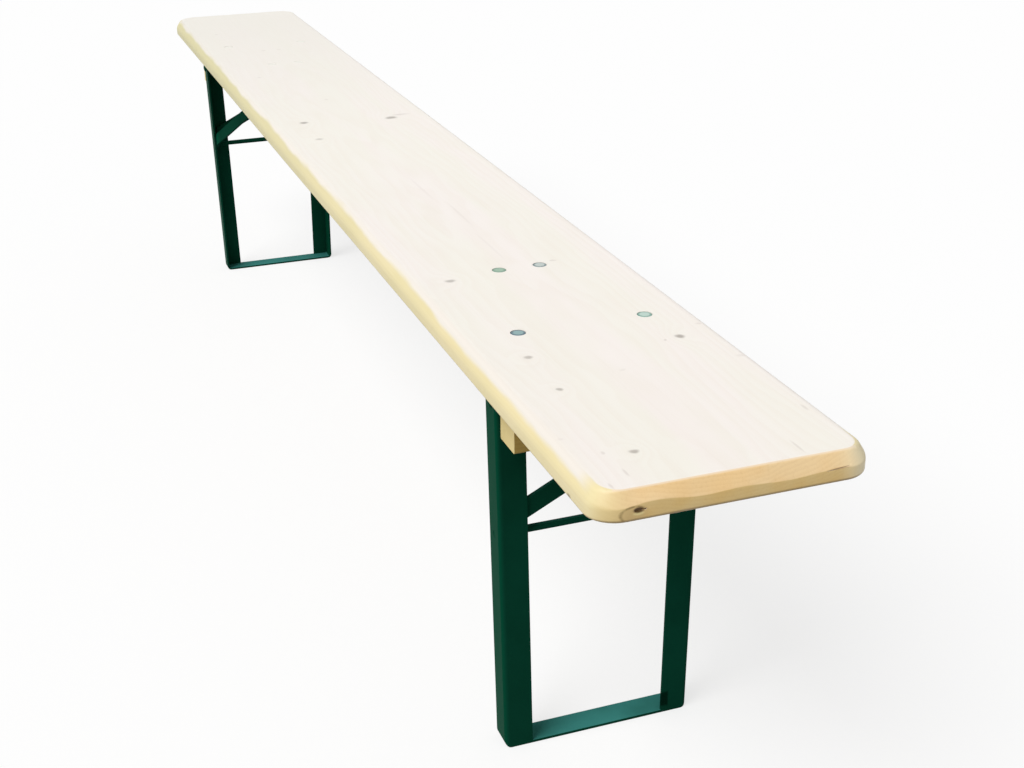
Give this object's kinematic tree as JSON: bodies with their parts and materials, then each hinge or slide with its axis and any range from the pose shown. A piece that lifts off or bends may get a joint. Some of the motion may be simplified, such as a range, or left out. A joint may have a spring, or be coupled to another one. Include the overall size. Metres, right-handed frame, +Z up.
{
  "type": "folding bench",
  "caption": "Long spruce bench seat on green angle-steel legs that fold flat under it, held by locking struts.",
  "frame": {"origin": "on the floor below the middle of the seat", "axes": "+X along the bench towards the end that is near in the picture, +Y across it, +Z up"},
  "size_m": [2.2, 0.25, 0.44],
  "materials": {
    "seat_wood": "clear satin varnish on pale spruce",
    "cleat_wood": "planed spruce batten, bare",
    "green_paint": "dark green satin powder coat",
    "bolt_steel": "zinc plated, dull",
    "spring_steel": "blued spring steel"
  },
  "bodies": {
    "root": {"seat_board": "seat_wood", "right_catch_plate": "green_paint", "right_catch_spring": "spring_steel", "right_cleat": "cleat_wood", "right_hinge_bracket_front": "green_paint", "right_hinge_rivet_front": "green_paint", "right_hinge_bolt_front": "bolt_steel", "right_hinge_nut_front": "bolt_steel", "right_catch_bolt_front": "bolt_steel", "right_catch_nut_front": "bolt_steel", "right_cleat_screw_front": "bolt_steel", "right_hinge_bracket_back": "green_paint", "right_hinge_rivet_back": "green_paint", "right_hinge_bolt_back": "bolt_steel", "right_hinge_nut_back": "bolt_steel", "right_catch_bolt_back": "bolt_steel", "right_catch_nut_back": "bolt_steel", "right_cleat_screw_back": "bolt_steel", "left_catch_plate": "green_paint", "left_catch_spring": "spring_steel", "left_cleat": "cleat_wood", "left_hinge_bracket_front": "green_paint", "left_hinge_rivet_front": "green_paint", "left_hinge_bolt_front": "bolt_steel", "left_hinge_nut_front": "bolt_steel", "left_catch_bolt_front": "bolt_steel", "left_catch_nut_front": "bolt_steel", "left_cleat_screw_front": "bolt_steel", "left_hinge_bracket_back": "green_paint", "left_hinge_rivet_back": "green_paint", "left_hinge_bolt_back": "bolt_steel", "left_hinge_nut_back": "bolt_steel", "left_catch_bolt_back": "bolt_steel", "left_catch_nut_back": "bolt_steel", "left_cleat_screw_back": "bolt_steel"},
    "right_leg": {"right_leg_frame": "green_paint", "right_cross_rod": "green_paint", "right_leg_brace": "green_paint"},
    "right_strut": {"right_strut_arm_front": "green_paint", "right_strut_arm_back": "green_paint", "right_strut_pin": "bolt_steel"},
    "left_leg": {"left_leg_frame": "green_paint", "left_cross_rod": "green_paint", "left_leg_brace": "green_paint"},
    "left_strut": {"left_strut_arm_front": "green_paint", "left_strut_arm_back": "green_paint", "left_strut_pin": "bolt_steel"}
  },
  "joints": [
    {"name": "right_leg_fold", "type": "hinge", "parent": "root", "child": "right_leg", "pos_m": [0.8055, 0, 0.396], "axis": [0, 1, 0], "range_deg": [0, 90]},
    {"name": "right_strut_swing", "type": "hinge", "parent": "right_leg", "child": "right_strut", "pos_m": [0.8055, 0, 0.25], "axis": [0, -1, 0], "range_deg": [0, 128.1]},
    {"name": "left_leg_fold", "type": "hinge", "parent": "root", "child": "left_leg", "pos_m": [-0.8055, 0, 0.396], "axis": [0, -1, 0], "range_deg": [0, 90]},
    {"name": "left_strut_swing", "type": "hinge", "parent": "left_leg", "child": "left_strut", "pos_m": [-0.8055, 0, 0.25], "axis": [0, 1, 0], "range_deg": [0, 128.1]}
  ],
  "couplings": [
    {"joint": "right_strut_swing", "follows": "right_leg_fold", "ratio": 1.4223},
    {"joint": "left_strut_swing", "follows": "left_leg_fold", "ratio": 1.4223}
  ]
}
